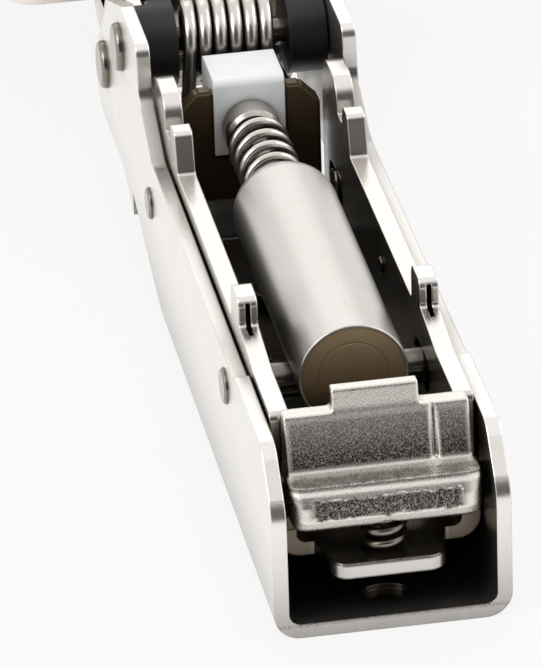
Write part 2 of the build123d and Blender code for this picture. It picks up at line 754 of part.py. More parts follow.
# ---------------------------------------------------------------- links
# Both links are folded channels: two side walls of one band, joined by a web.
# Each route hangs under the cup's rim and rises inside its bowl.
rim_x, rim_z = cup_point(flange_reach, -flange_sheet)
outer_route = [
    (link_pin_x, link_pin_z),
    (rim_x - outer_sag_back, rim_z - outer_sag_drop),
    (rim_x + outer_rise_reach, rim_z - outer_rise_drop),
    (outer_cup_x + outer_knee_reach, rim_z + outer_knee_rise),
    (outer_cup_x + outer_knee_reach, rim_z + outer_top_rise),
    (outer_cup_x, outer_cup_z),
]
inner_route = [
    (spring_axle_x + open_eye_shift_x, spring_axle_z + open_eye_shift_z),
    (link_pin_x - inner_crest_back, link_pin_z + inner_crest_rise),
    (link_pin_x + inner_dip_reach, link_pin_z + inner_dip_rise),
    (rim_x - inner_sag_back, rim_z - inner_sag_drop),
    (rim_x + inner_rise_reach, rim_z - inner_sag_drop),
    (rim_x + inner_knee_reach, rim_z + inner_knee_rise),
    (inner_cup_x, inner_cup_z),
]
inner_web_start = (spring_axle_x + inner_web_reach, link_pin_z + inner_web_rise)


def shifted(points, dx, dz):
    """The same points, moved by dx and dz."""
    return [(x + dx, z + dz) for x, z in points]


with BuildPart() as outer_link:
    with BuildSketch(Plane.XZ) as outer_band:
        with BuildLine():
            FilletPolyline(*outer_route, radius=outer_bend)
        trace(line_width=link_width)
        with Locations((link_pin_x, link_pin_z), (outer_cup_x, outer_cup_z)):
            Circle(eye_radius)
        with BuildLine():
            Line((link_pin_x, link_pin_z), (tail_x, link_pin_z - tail_drop))
        trace(line_width=2 * tail_radius)
        with Locations((tail_x, link_pin_z - tail_drop)):
            Circle(tail_radius)
    extrude(amount=outer_link_wall, both=True)
    extrude(outer_band.sketch, amount=outer_link_wall - link_sheet, both=True, mode=Mode.SUBTRACT)
    with BuildSketch(Plane.XZ):
        with BuildLine():
            FilletPolyline(*outer_route[1:4], radius=outer_bend)
        trace(line_width=link_width)
        with BuildLine():
            FilletPolyline(*shifted(outer_route[0:5], -web_shift_x, web_shift_z), radius=outer_bend)
        trace(line_width=link_width, mode=Mode.SUBTRACT)
    extrude(amount=outer_link_wall - link_sheet, both=True)
    with BuildSketch(side_plane(tail_x, link_pin_z - tail_drop)):
        Circle(tail_radius)
    extrude(amount=outer_link_wall - link_sheet, both=True)
    with BuildSketch(side_plane(link_pin_x, link_pin_z)):
        Circle(link_pin_radius + running_fit)
    extrude(amount=arm_half, both=True, mode=Mode.SUBTRACT)
    with BuildSketch(side_plane(outer_cup_x, outer_cup_z)):
        Circle(cup_pin_radius + running_fit)
    extrude(amount=arm_half, both=True, mode=Mode.SUBTRACT)

with BuildPart() as inner_link:
    with BuildSketch(Plane.XZ) as inner_band:
        with BuildLine():
            FilletPolyline(*inner_route, radius=inner_bend)
        trace(line_width=inner_link_width)
        with Locations(inner_route[0]):
            Circle(open_eye_radius)
        with Locations(inner_route[-1]):
            Circle(inner_eye_radius)
    extrude(amount=inner_link_wall, both=True)
    extrude(inner_band.sketch, amount=inner_link_wall - link_sheet, both=True, mode=Mode.SUBTRACT)
    with BuildSketch(Plane.XZ):
        with BuildLine():
            FilletPolyline(inner_web_start, *inner_route[1:3], radius=inner_bend)
        trace(line_width=inner_link_width)
        with BuildLine():
            FilletPolyline(*shifted(inner_route[0:4], -web_shift_x, -web_shift_z), radius=inner_bend)
        trace(line_width=inner_link_width, mode=Mode.SUBTRACT)
    extrude(amount=inner_link_wall - link_sheet, both=True)
    with BuildSketch(side_plane(*inner_route[0])):
        Circle(spring_axle_radius + open_eye_play)
    extrude(amount=arm_half, both=True, mode=Mode.SUBTRACT)
    with BuildSketch(side_plane(*inner_route[-1])):
        Circle(cup_pin_radius + running_fit)
    extrude(amount=arm_half, both=True, mode=Mode.SUBTRACT)

# ---------------------------------------------------------------- cup
cup_inner = cup_radius - cup_wall
with BuildPart() as hinge_cup:
    with BuildSketch(cup_plane):
        Circle(cup_radius)
    extrude(amount=cup_depth)
    fillet(hinge_cup.faces().sort_by(Axis.Z)[-1].edges(), cup_corner)
    with BuildSketch(cup_plane.offset(-flange_sheet)):
        with Locations((-screw_offset, 0)):
            SlotCenterToCenter(screw_spacing, 2 * wing_radius, rotation=90)
        Circle(flange_radius)
        make_hull()
        with Locations((flange_reach / 2, 0)):
            RectangleRounded(flange_reach, flange_edge_width, flange_corner)
    extrude(amount=flange_sheet)
    with BuildSketch(cup_plane.offset(-flange_sheet)):
        Circle(cup_inner)
    extrude(amount=flange_sheet + cup_depth - cup_wall, mode=Mode.SUBTRACT)
    bowl_floor = hinge_cup.faces().filter_by(GeomType.PLANE).sort_by(Axis.Z)[-2]
    fillet(bowl_floor.edges(), cup_corner - cup_wall)
    with BuildSketch(cup_plane.offset(-flange_sheet)):
        with Locations((-screw_offset, 0)):
            with GridLocations(0, screw_spacing, 1, 2):
                Circle(screw_hole_radius)
    extrude(amount=flange_sheet, mode=Mode.SUBTRACT)
    with BuildSketch(side_plane(outer_cup_x, outer_cup_z)):
        Circle(cup_pin_radius + fixed_fit)
    extrude(amount=cup_radius, both=True, mode=Mode.SUBTRACT)
    with BuildSketch(side_plane(inner_cup_x, inner_cup_z)):
        Circle(cup_pin_radius + fixed_fit)
    extrude(amount=cup_radius, both=True, mode=Mode.SUBTRACT)

# The pins end just inside the bowl's outside.
with BuildPart() as outer_cup_pin:
    with BuildSketch(side_plane(outer_cup_x, outer_cup_z)):
        Circle(cup_pin_radius)
    extrude(amount=cup_radius, both=True)
    with BuildSketch(cup_plane):
        Circle(cup_radius - pin_inset)
    extrude(amount=cup_depth, mode=Mode.INTERSECT)

with BuildPart() as inner_cup_pin:
    with BuildSketch(side_plane(inner_cup_x, inner_cup_z)):
        Circle(cup_pin_radius)
    extrude(amount=cup_radius, both=True)
    with BuildSketch(cup_plane):
        Circle(cup_radius - pin_inset)
    extrude(amount=cup_depth, mode=Mode.INTERSECT)

# ---------------------------------------------------------------- export
hinge_arm.part.label = "hinge_arm"
export_step(hinge_arm.part, "parts/hinge_arm.step")

spring_axle.part.label = "spring_axle"
export_step(spring_axle.part, "parts/spring_axle.step")

outer_link_pin.part.label = "outer_link_pin"
export_step(outer_link_pin.part, "parts/outer_link_pin.step")

damper_pin.part.label = "damper_pin"
export_step(damper_pin.part, "parts/damper_pin.step")

clip_carrier.part.label = "clip_carrier"
export_step(clip_carrier.part, "parts/clip_carrier.step")

release_lever.part.label = "release_lever"
export_step(release_lever.part, "parts/release_lever.step")

lever_pin.part.label = "lever_pin"
export_step(lever_pin.part, "parts/lever_pin.step")

lever_spring.part.label = "lever_spring"
export_step(lever_spring.part, "parts/lever_spring.step")

depth_cam.part.label = "depth_cam"
export_step(depth_cam.part, "parts/depth_cam.step")

side_screw.part.label = "side_screw"
export_step(side_screw.part, "parts/side_screw.step")

damper_cylinder.part.label = "damper_cylinder"
export_step(damper_cylinder.part, "parts/damper_cylinder.step")

damper_end_plug.part.label = "damper_end_plug"
export_step(damper_end_plug.part, "parts/damper_end_plug.step")

piston_rod.part.label = "piston_rod"
export_step(piston_rod.part, "parts/piston_rod.step")

spring_seat.part.label = "spring_seat"
export_step(spring_seat.part, "parts/spring_seat.step")

rod_spring.part.label = "rod_spring"
export_step(rod_spring.part, "parts/rod_spring.step")

slider_block.part.label = "slider_block"
export_step(slider_block.part, "parts/slider_block.step")

torsion_spring.part.label = "torsion_spring"
export_step(torsion_spring.part, "parts/torsion_spring.step")

outer_link.part.label = "outer_link"
export_step(outer_link.part, "parts/outer_link.step")

inner_link.part.label = "inner_link"
export_step(inner_link.part, "parts/inner_link.step")

hinge_cup.part.label = "hinge_cup"
export_step(hinge_cup.part, "parts/hinge_cup.step")

outer_cup_pin.part.label = "outer_cup_pin"
export_step(outer_cup_pin.part, "parts/outer_cup_pin.step")

inner_cup_pin.part.label = "inner_cup_pin"
export_step(inner_cup_pin.part, "parts/inner_cup_pin.step")
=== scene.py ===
import json
import math

import bmesh
import bpy
from mathutils import Matrix, Vector, noise


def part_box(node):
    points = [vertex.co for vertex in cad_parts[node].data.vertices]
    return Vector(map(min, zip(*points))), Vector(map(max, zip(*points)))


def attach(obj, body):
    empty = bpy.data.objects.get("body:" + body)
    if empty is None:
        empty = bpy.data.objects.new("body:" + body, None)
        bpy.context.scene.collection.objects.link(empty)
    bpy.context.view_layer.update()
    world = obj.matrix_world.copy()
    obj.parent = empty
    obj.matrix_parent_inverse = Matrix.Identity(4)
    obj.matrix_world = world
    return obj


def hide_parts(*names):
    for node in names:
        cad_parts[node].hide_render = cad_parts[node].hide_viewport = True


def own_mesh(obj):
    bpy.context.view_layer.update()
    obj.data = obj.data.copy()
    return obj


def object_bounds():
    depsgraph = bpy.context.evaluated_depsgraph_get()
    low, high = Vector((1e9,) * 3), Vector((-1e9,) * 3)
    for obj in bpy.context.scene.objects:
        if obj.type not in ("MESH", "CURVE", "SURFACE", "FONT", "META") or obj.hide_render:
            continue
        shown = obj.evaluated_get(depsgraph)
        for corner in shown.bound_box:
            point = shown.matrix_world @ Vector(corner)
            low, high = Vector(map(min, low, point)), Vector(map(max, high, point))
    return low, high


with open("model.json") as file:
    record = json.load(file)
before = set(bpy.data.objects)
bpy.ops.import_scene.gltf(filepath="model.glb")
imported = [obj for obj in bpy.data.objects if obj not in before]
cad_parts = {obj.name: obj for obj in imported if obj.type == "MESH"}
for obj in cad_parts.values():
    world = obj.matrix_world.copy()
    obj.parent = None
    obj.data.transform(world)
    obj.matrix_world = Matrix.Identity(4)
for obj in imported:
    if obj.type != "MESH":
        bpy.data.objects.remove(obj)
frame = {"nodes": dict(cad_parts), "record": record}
cad_low, cad_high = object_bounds()
nodes = frame["nodes"]

MM = 0.001  # lengths and places are in millimetres, unless a comment says metres

# ---------------------------------------------------------------- camera
# The view is from the arm's rear mouth, a little to its left and above it.
camera_azimuth = 9.275  # degrees from the arm's axis towards +Y
camera_elevation = 27.172  # degrees
camera_roll = -1.836  # degrees
camera_distance = 484.5 * MM
camera_target = Vector((43.71, 0.517, 0.0)) * MM
camera_lens = 365.0
camera_clip = (0.01, 10.0)  # metres


def place_camera():
    azimuth = math.radians(camera_azimuth)
    elevation = math.radians(camera_elevation)
    back = Vector((
        -math.cos(azimuth) * math.cos(elevation),
        math.sin(azimuth) * math.cos(elevation),
        math.sin(elevation),
    ))
    data = bpy.data.cameras.new("camera")
    data.lens = camera_lens
    data.clip_start, data.clip_end = camera_clip
    camera = bpy.data.objects.new("camera", data)
    bpy.context.scene.collection.objects.link(camera)
    turned = (-back).to_track_quat("-Z", "Y").to_matrix()
    rolled = turned @ Matrix.Rotation(math.radians(camera_roll), 3, "Z")
    moved = Matrix.Translation(camera_target + back * camera_distance)
    camera.matrix_world = moved @ rolled.to_4x4()
    bpy.context.scene.camera = camera


place_camera()
bpy.context.scene.view_settings.view_transform = "Standard"


# ---------------------------------------------------------------- shader graphs
SAMPLES = 6  # rays for each bevel and each occlusion lookup
NOISE_SPREAD = (0.3, 0.7)  # nearly all of a noise's values lie between these
MIX_FACTOR, MIX_FIRST, MIX_SECOND, MIX_RESULT = 0, 6, 7, 2  # the Mix node's colour sockets


class Graph:
    """A node tree that is filled one node at a time."""

    def __init__(self, tree):
        self.tree = tree
        tree.nodes.clear()

    def add(self, kind, inputs=None, **settings):
        """Adds a node. An input is a number, a colour or another node's output."""
        node = self.tree.nodes.new(kind)
        for key, value in settings.items():
            setattr(node, key, value)
        for key, value in (inputs or {}).items():
            socket = node.inputs[key]
            if isinstance(value, bpy.types.NodeSocket):
                self.tree.links.new(value, socket)
            else:
                socket.default_value = value
        return node

    def math(self, operation, first, *others):
        """Applies an operation to one value, or to several from left to right."""
        if not others:
            return self.add("ShaderNodeMath", {0: first}, operation=operation).outputs[0]
        for other in others:
            node = self.add("ShaderNodeMath", {0: first, 1: other}, operation=operation)
            first = node.outputs[0]
        return first

    def remap(self, value, low, high, to_low=0.0, to_high=1.0):
        """Carries low..high to to_low..to_high, and clamps."""
        inputs = {
            "Value": value, "From Min": low, "From Max": high,
            "To Min": to_low, "To Max": to_high,
        }
        return self.add("ShaderNodeMapRange", inputs).outputs["Result"]

    def fall(self, value, low, high, full=1.0):
        """full up to low, falling to 0 at high."""
        return self.remap(value, low, high, full, 0.0)

    def window(self, value, low, high, soft):
        """1 between low and high and 0 outside them, with edges of twice soft."""
        rising = self.remap(value, low - soft, low + soft)
        falling = self.fall(value, high - soft, high + soft)
        return self.math("MULTIPLY", rising, falling)

    def blend(self, factor, first, second, mode="MIX"):
        inputs = {MIX_FACTOR: factor, MIX_FIRST: first, MIX_SECOND: second}
        node = self.add("ShaderNodeMix", inputs, data_type="RGBA", blend_type=mode)
        return node.outputs[MIX_RESULT]

    def split(self, vector):
        """The vector's X, Y and Z."""
        return self.add("ShaderNodeSeparateXYZ", {"Vector": vector}).outputs

    def millimetres(self, scale=(1.0, 1.0, 1.0)):
        """The point's place in millimetres, stretched by scale."""
        place = self.add("ShaderNodeTexCoord").outputs["Object"]
        inputs = {"Vector": place, "Scale": tuple(s / MM for s in scale)}
        return self.add("ShaderNodeMapping", inputs).outputs["Vector"]

    def noise(self, vector, scale, detail, roughness):
        inputs = {"Vector": vector, "Scale": scale, "Detail": detail, "Roughness": roughness}
        return self.add("ShaderNodeTexNoise", inputs).outputs["Fac"]

    def crevice(self, reach, low=0.25, high=0.95):
        """Mask for painted shade: 0 deep inside the object, 1 where it stands free within
        reach.
        """
        inputs = {"Distance": reach * MM}
        node = self.add("ShaderNodeAmbientOcclusion", inputs, samples=SAMPLES)
        return self.remap(node.outputs["AO"], low, high)

    def bumped(self, height, edge, depth, strength=1.0):
        """A bumped normal, with edges that look rounded by this radius."""
        soft = self.add("ShaderNodeBevel", {"Radius": edge * MM}, samples=SAMPLES).outputs[0]
        inputs = {
            "Height": height, "Normal": soft, "Strength": strength, "Distance": depth * MM,
        }
        return self.add("ShaderNodeBump", inputs).outputs[0]

    def surface(self, inputs):
        """Ends the tree in a Principled shader."""
        shader = self.add("ShaderNodeBsdfPrincipled", inputs)
        self.add("ShaderNodeOutputMaterial", {"Surface": shader.outputs[0]})


def grey(level):
    return (level, level, level, 1.0)


def rgb(colour):
    return (*colour, 1.0)


def material(name):
    made = bpy.data.materials.new(name)
    made.use_nodes = True
    return made, Graph(made.node_tree)


def tinted(colour, share):
    """A browner, darker colour, which keeps share of the red and less of the blue."""
    browning = (1.0, 0.86, 0.70)
    return rgb([c * share * w for c, w in zip(colour, browning)])


# ---------------------------------------------------------------- marks and painted shade
# Each takes the tree, the point's place and a fine noise, and gives 1 where it darkens the
# metal with a real mark or with painted shade. A pair of numbers is where a fade or a window
# starts and ends, in the part's frame.
def arm_marks(g, place, fine):
    """Rough shear marks along the mouth's inner edge."""
    edge_height, edge_depth = (0.80, 1.04), (0.10, 0.30)
    grain, strength = (0.45, 0.60), 0.75
    x, _, z = g.split(place)
    line = g.math("MULTIPLY", g.window(z, *edge_height, soft=0.05), g.fall(x, *edge_depth))
    return g.math("MULTIPLY", line, g.remap(fine, *grain, 0.0, strength))


def carrier_shade_and_marks(g, place, fine):
    """Painted brown shade on the lower rear corners, and shear marks on the tongue's tip."""
    wall, shade_height, shade_length = (4.45, 4.75), (7.8, 8.6), (9.0, 14.0)
    tongue_side, tip_height, tip_length = (3.9, 4.3), (4.56, 4.90), (1.3, 2.2)
    grain, faint, strong, tip_front = (0.42, 0.56), 0.1, 0.9, 0.2
    x, y, z = g.split(place)
    across = g.math("ABSOLUTE", y)
    # Painted shade on the lower rear corners.
    corners = g.math(
        "MULTIPLY",
        g.remap(across, *wall),
        g.fall(z, *shade_height),
        g.fall(x, *shade_length, full=0.93),
    )
    tip = g.math(
        "MULTIPLY",
        g.window(z, *tip_height, soft=0.04),
        g.remap(x, *tip_length, 1.0, tip_front),
    )
    hatched = g.math("MULTIPLY", tip, g.remap(fine, *grain, faint, strong))
    tongue = g.math("MULTIPLY", g.fall(across, *tongue_side), hatched)
    return g.math("MAXIMUM", corners, tongue)


def spring_shade(g, place, fine):
    """Painted shade on the lever's own spring, at the rear mouth, so it is darker than the
    others.
    """
    shade_length = (6.0, 9.0)
    x, _, _ = g.split(place)
    return g.fall(x, *shade_length, full=0.72)


def pin_marks(g, place, fine):
    """Dark pin heads on the arm's outside."""
    outside, faint, strong = (7.95, 8.0), 0.45, 0.9
    _, y, _ = g.split(place)
    beyond = g.remap(g.math("ABSOLUTE", y), *outside)
    return g.math("MULTIPLY", beyond, g.remap(fine, *NOISE_SPREAD, strong, faint))


# ---------------------------------------------------------------- finishes
# How much of a metal's colour is left by the painted shade in crevices, by clouds, by pits,
# and by the marks and painted shade above.
CREVICE_SHADE_SHARE, CLOUD_SHARE, PIT_SHARE, MARK_AND_SHADE_SHARE = 0.06, 0.85, 0.22, 0.16
METALLIC = 0.95
# The colour of the painted shade in the plastic's corners.
CREVICE_SHADE_COLOUR = (0.035, 0.026, 0.018)
LIP_PANEL = (8.15, 9.35)  # the height of the sunken panel, in its painted shade and in its shape
DAMPER_AXIS_Z = 12.2


def plated(
    name, colour, roughness, edge=0.12, streaks=0.03, reach=8.5, shade=0.96, brown=None,
):
    """Bright plate: soft edges, shallow pits, faint drawing marks, painted shade in crevices.

    edge is the radius of the soft edges. reach and shade say how far and how strongly
    the painted shade darkens the crevices. brown is one of the marks and painted shades above.
    """
    drawn = (0.10, 3.2, 3.2)  # stretches the noise along the sheet's length
    pits, clouds, bump_depth, line_height = 0.2, 0.14, 0.004, 8.0
    pit_spread, cloud_spread = (0.68, 0.74), (0.45, 0.75)
    made, g = material(name)
    place = g.millimetres()
    fine = g.noise(place, scale=9.0, detail=3.0, roughness=0.65)
    broad = g.noise(place, scale=0.35, detail=3.0, roughness=0.55)
    speck = g.noise(place, scale=3.6, detail=2.0, roughness=0.5)
    streak = g.noise(g.millimetres(drawn), scale=2.0, detail=3.0, roughness=0.6)
    pit = g.math("MULTIPLY", g.remap(speck, *pit_spread), pits)
    cloud = g.remap(broad, *cloud_spread, 0.0, clouds)
    # Painted shade, dark and brown, in the crevices.
    deep = g.blend(g.crevice(reach), tinted(colour, CREVICE_SHADE_SHARE), rgb(colour))
    base = g.blend(shade, rgb(colour), deep)
    base = g.blend(cloud, base, tinted(colour, CLOUD_SHARE))
    base = g.blend(pit, base, tinted(colour, PIT_SHARE))
    # brown paints real marks on some parts and painted shade on others.
    if brown:
        base = g.blend(brown(g, place, fine), base, tinted(colour, MARK_AND_SHADE_SHARE))
    rough = g.remap(streak, *NOISE_SPREAD, roughness - streaks, roughness + streaks)
    lines = g.math("MULTIPLY", streak, streaks * line_height)
    height = g.math("ADD", g.math("SUBTRACT", fine, pit), lines)
    normal = g.bumped(height, edge, bump_depth)
    g.surface({"Base Color": base, "Metallic": METALLIC, "Roughness": rough, "Normal": normal})
    return made


def cast_plate(name, colour):
    """The lever's plated casting: sparkling grain, a painted dark reflection on its face that
    fades towards the top, and painted shade in its corners, groove, ledge and lip panel.
    """
    face_height, face_side, face_shine = (10.42, 13.5), (-5.95, 5.95), (11.2, 13.6)
    groove_y, groove_clear = -3.75, (0.25, 0.45)
    groove_side, groove_height = (-3.86, -3.66), (10.5, 13.6)
    panel_side, panel_depth = (-5.0, 5.1), (1.2, 1.5)
    ledge_height, ledge_depth = (9.98, 10.12), (3.4, 3.6)
    unevenness, seam_wobble, smooth_bumps = 0.9, 0.25, 0.45
    face_top, ledge_strength = 0.72, 0.8
    sparkle_spread, sparkle_low = (0.34, 0.52), 0.35
    light_spread, light_low = (0.30, 0.62), 0.80
    corner_shade_share, painted_dark_share = 0.2, 0.05
    roughness, edge, bump_depth = (0.18, 0.32), 0.10, 0.05
    made, g = material(name)
    place = g.millimetres()
    grain = g.noise(place, scale=8.0, detail=3.0, roughness=0.8)
    coarse = g.noise(place, scale=1.6, detail=3.0, roughness=0.6)
    x, y, z = g.split(place)
    wobble = g.math("MULTIPLY", g.math("SUBTRACT", coarse, 0.5), unevenness)
    from_groove = g.math("ABSOLUTE", g.math("ADD", y, -groove_y))
    # Painted dark reflection on the face, lighter towards the top.
    face = g.math(
        "MULTIPLY",
        g.window(z, *face_height, soft=0.18),
        g.window(y, *face_side, soft=0.15),
        g.remap(from_groove, *groove_clear),
        g.remap(z, *face_shine, 1.0, face_top),
    )
    # Painted shade in the sunken panel on the lip.
    panel = g.math(
        "MULTIPLY",
        g.window(g.math("ADD", z, wobble), *LIP_PANEL, soft=0.10),
        g.window(y, *panel_side, soft=0.3),
        g.fall(x, *panel_depth),
    )
    seam = g.math("ADD", z, g.math("MULTIPLY", wobble, seam_wobble))
    # Painted shade along the ledge at the top of the lip.
    ledge = g.math(
        "MULTIPLY",
        g.window(seam, *ledge_height, soft=0.04),
        g.fall(x, *ledge_depth),
        ledge_strength,
    )
    # Painted shade in the groove.
    groove = g.math(
        "MULTIPLY",
        g.window(y, *groove_side, soft=0.06),
        g.window(z, *groove_height, soft=0.1),
    )
    # All the painted dark reflection and painted shade on the lever.
    painted_dark = g.math("MAXIMUM", face, panel, ledge, groove)
    sparkle = g.remap(grain, *sparkle_spread, sparkle_low, 1.0)
    level = g.remap(grain, *light_spread, light_low, 1.0)
    light = g.add("ShaderNodeCombineColor", {0: level, 1: level, 2: level}).outputs[0]
    base = g.blend(1.0, rgb(colour), light, "MULTIPLY")
    # Painted shade in the corners.
    corner = g.crevice(reach=3.0, low=0.05, high=0.5)
    base = g.blend(corner, tinted(colour, corner_shade_share), base)
    # The painted reflection and shade, broken up by the grain.
    base = g.blend(g.math("MULTIPLY", painted_dark, sparkle), base, tinted(colour, painted_dark_share))
    rough = g.remap(grain, *NOISE_SPREAD, *roughness)
    height = g.math("MULTIPLY", grain, g.remap(painted_dark, 0.0, 1.0, smooth_bumps, 1.0))
    normal = g.bumped(height, edge, bump_depth)
    g.surface({"Base Color": base, "Metallic": METALLIC, "Roughness": rough, "Normal": normal})
    return made


def moulded(name, colour, roughness, scatter=0.0, crevice_shade=0.0):
    """Moulded plastic: a fine skin, faint mottling, soft edges and painted shade in corners."""
    mottle, patch_spread, shaded, uneven = 0.1, (0.35, 0.7), 0.6, 0.06
    edge, bump_depth, scatter_depth = 0.12, 0.01, 0.8
    made, g = material(name)
    place = g.millimetres()
    fine = g.noise(place, scale=14.0, detail=3.0, roughness=0.6)
    broad = g.noise(place, scale=0.8, detail=2.0, roughness=0.5)
    patches = g.remap(broad, *patch_spread, 0.0, mottle)
    base = g.blend(patches, rgb(colour), rgb([c * shaded for c in colour]))
    # Painted shade in the corners.
    corner = g.crevice(reach=2.5, low=0.20, high=0.65)
    in_shade = g.fall(corner, 0.0, 1.0, full=crevice_shade)
    base = g.blend(in_shade, base, rgb(CREVICE_SHADE_COLOUR))
    rough = g.remap(fine, *NOISE_SPREAD, roughness - uneven, roughness + uneven)
    normal = g.bumped(fine, edge, bump_depth, strength=0.6)
    g.surface({
        "Base Color": base, "Roughness": rough, "Normal": normal,
        "Subsurface Weight": scatter, "Subsurface Radius": (1.0, 1.0, 1.0),
        "Subsurface Scale": scatter_depth * MM,
    })
    return made


def dull_bronze(name, colour):
    """The damper's end disc: a turned ring on dark metal, with painted light towards its top
    and painted shade towards its bottom.

    Past dark_length it is darker, for the guide plate on the slider.
    """
    ring_radius, light_height, dark_length = (2.42, 2.52), (11.5, 17.0), (45.0, 50.0)
    brightest, bottom_share, dark_share, ring_share = 1.5, 0.25, 0.16, 0.3
    dark_strength, ring_strength, ring_wobble, light_wobble = 0.85, 0.5, 0.15, 1.6
    roughness, edge, bump_depth, metallic = (0.30, 0.42), 0.06, 0.02, 0.6
    made, g = material(name)
    place = g.millimetres()
    fine = g.noise(place, scale=6.0, detail=3.0, roughness=0.6)
    x, y, z = g.split(place)
    up = g.math("SUBTRACT", z, DAMPER_AXIS_Z)
    squares = g.math("ADD", g.math("MULTIPLY", y, y), g.math("MULTIPLY", up, up))
    wobble = g.math("MULTIPLY", fine, ring_wobble)
    radius = g.math("ADD", g.math("SQRT", squares), wobble)
    ring = g.window(radius, *ring_radius, soft=0.05)
    # Painted light: lighter towards the top, darker towards the bottom; the guide plate gets it
    # too.
    level = g.math("ADD", z, g.math("MULTIPLY", fine, light_wobble))
    lit = g.remap(level, *light_height)
    dark = g.remap(x, *dark_length, 0.0, dark_strength)
    base = g.blend(lit, tinted(colour, bottom_share), rgb([c * brightest for c in colour]))
    base = g.blend(dark, base, tinted(colour, dark_share))
    base = g.blend(g.math("MULTIPLY", ring, ring_strength), base, tinted(colour, ring_share))
    rough = g.remap(fine, *NOISE_SPREAD, *roughness)
    normal = g.bumped(g.math("SUBTRACT", fine, ring), edge, bump_depth)
    g.surface({"Base Color": base, "Metallic": metallic, "Roughness": rough, "Normal": normal})
    return made


nickel = (0.925, 0.89, 0.85)
carrier_colour = (0.87, 0.83, 0.785)
lever_colour = (0.91, 0.865, 0.80)
cup_colour = (0.92, 0.87, 0.80)
damper_colour = (0.71, 0.69, 0.655)
pin_colour = (0.80, 0.76, 0.70)
spring_colour = (0.74, 0.70, 0.65)
nylon_colour = (0.010, 0.010, 0.012)
acetal_colour = (0.93, 0.94, 0.955)
bronze_colour = (0.44, 0.33, 0.20)
finishes = {
    "arm_nickel": plated("arm_nickel", nickel, roughness=0.24, edge=0.16, brown=arm_marks),
    # The carrier gets painted shade on its lower rear corners and shear marks on its tongue.
    "carrier_nickel": plated(
        "carrier_nickel", carrier_colour, roughness=0.22, edge=0.16, brown=carrier_shade_and_marks,
    ),
    "lever_nickel": cast_plate("lever_nickel", lever_colour),
    "link_nickel": plated("link_nickel", nickel, roughness=0.24, edge=0.14),
    "cup_nickel": plated("cup_nickel", cup_colour, roughness=0.20, edge=0.14),
    "damper_nickel": plated(
        "damper_nickel", damper_colour, roughness=0.34, edge=0.10, streaks=0.015, reach=4.0,
        shade=0.75,
    ),
    "pin_steel": plated("pin_steel", pin_colour, roughness=0.18, edge=0.12, brown=pin_marks),
    # The lever's own spring gets painted shade where it sits in the rear mouth.
    "spring_steel": plated(
        "spring_steel", spring_colour, roughness=0.22, edge=0.05, reach=4.0, brown=spring_shade,
    ),
    "black_nylon": moulded("black_nylon", nylon_colour, roughness=0.42),
    # The white block gets painted shade in its corners.
    "white_acetal": moulded(
        "white_acetal", acetal_colour, roughness=0.38, scatter=0.2, crevice_shade=0.8,
    ),
    "plug_bronze": dull_bronze("plug_bronze", bronze_colour),
}
for entry in frame["record"]["subparts"]:
    for slot in nodes[entry["node"]].material_slots:
        slot.material = finishes[entry["material_slot"]]


# ---------------------------------------------------------------- pieces
def place_piece(name, mesh, body, slot):
    piece = bpy.data.objects.new(name, mesh)
    bpy.context.scene.collection.objects.link(piece)
    mesh.materials.clear()
    mesh.materials.append(finishes[slot])
    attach(piece, body)
    return piece


def shade_smooth(mesh):
    for polygon in mesh.polygons:
        polygon.use_smooth = True


def swollen_corner(point, half_width, front):
    """How far a point of the lip moves forward, so that both its ends look round."""
    radius, depth, fullness = 1.3, 2.2, 0.8
    steepest = radius * 0.98
    over = min(max(abs(point.y) - (half_width - radius), 0.0), steepest)
    fade = min(max((front + depth - point.x) / depth, 0.0), 1.0)
    return (radius - math.sqrt(radius * radius - over * over)) * fade * fullness


def sunken(point, front):
    """1 on the lip's ragged panel, and 0 off it."""
    half_width, depth, slope = 5.0, 0.5, 0.1
    raggedness, noise_scale = 0.22, 1.5
    if point.x > front + depth or abs(point.y) > half_width:
        return 0.0
    ragged = point.z + raggedness * noise.noise(point * noise_scale)
    return min(max(min(ragged - LIP_PANEL[0], LIP_PANEL[1] - ragged) / slope, 0.0), 1.0)


def dress_lever():
    """The lever with the rounded edges and the swollen lip of a plated casting."""
    voxel, smoothing, smooth_passes = 0.11, 0.5, 6
    lip_top, panel_dent = 10.3, 0.14
    work = nodes["release_lever"].data.copy()
    work.transform(Matrix.Scale(1.0 / MM, 4))
    blank = bpy.data.objects.new("lever_blank", work)
    bpy.context.scene.collection.objects.link(blank)
    remesh = blank.modifiers.new("remesh", "REMESH")
    remesh.mode = "VOXEL"
    remesh.voxel_size = voxel
    smooth = blank.modifiers.new("smooth", "SMOOTH")
    smooth.factor = smoothing
    smooth.iterations = smooth_passes
    evaluated = blank.evaluated_get(bpy.context.evaluated_depsgraph_get())
    cast = bpy.data.meshes.new_from_object(evaluated)
    bpy.data.objects.remove(blank)
    low, high = (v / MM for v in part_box("release_lever"))
    for vertex in cast.vertices:
        point = vertex.co
        if point.z < lip_top:
            point.x += swollen_corner(point, high.y, low.x)
        point.x += panel_dent * sunken(point, low.x)
        for i in range(3):
            point[i] = min(max(point[i], low[i]), high[i])
    cast.transform(Matrix.Scale(MM, 4))
    shade_smooth(cast)
    piece = place_piece("lever_casting", cast, "lever", "lever_nickel")
    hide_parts("release_lever")


def dress_spring(name, piece_name, body, axis, anchor, girth=1.0):
    """A copy of a CAD spring, thinned across its axis by girth, that rides on a body."""
    coil = nodes[name].data.copy()
    middle = Vector(anchor) * MM
    along = Vector(axis)
    for vertex in coil.vertices:
        offset = vertex.co - middle
        lengthwise = along * offset.dot(along)
        vertex.co = middle + lengthwise + (offset - lengthwise) * girth
    piece = place_piece(piece_name, coil, body, "spring_steel")
    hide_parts(name)
    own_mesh(piece)


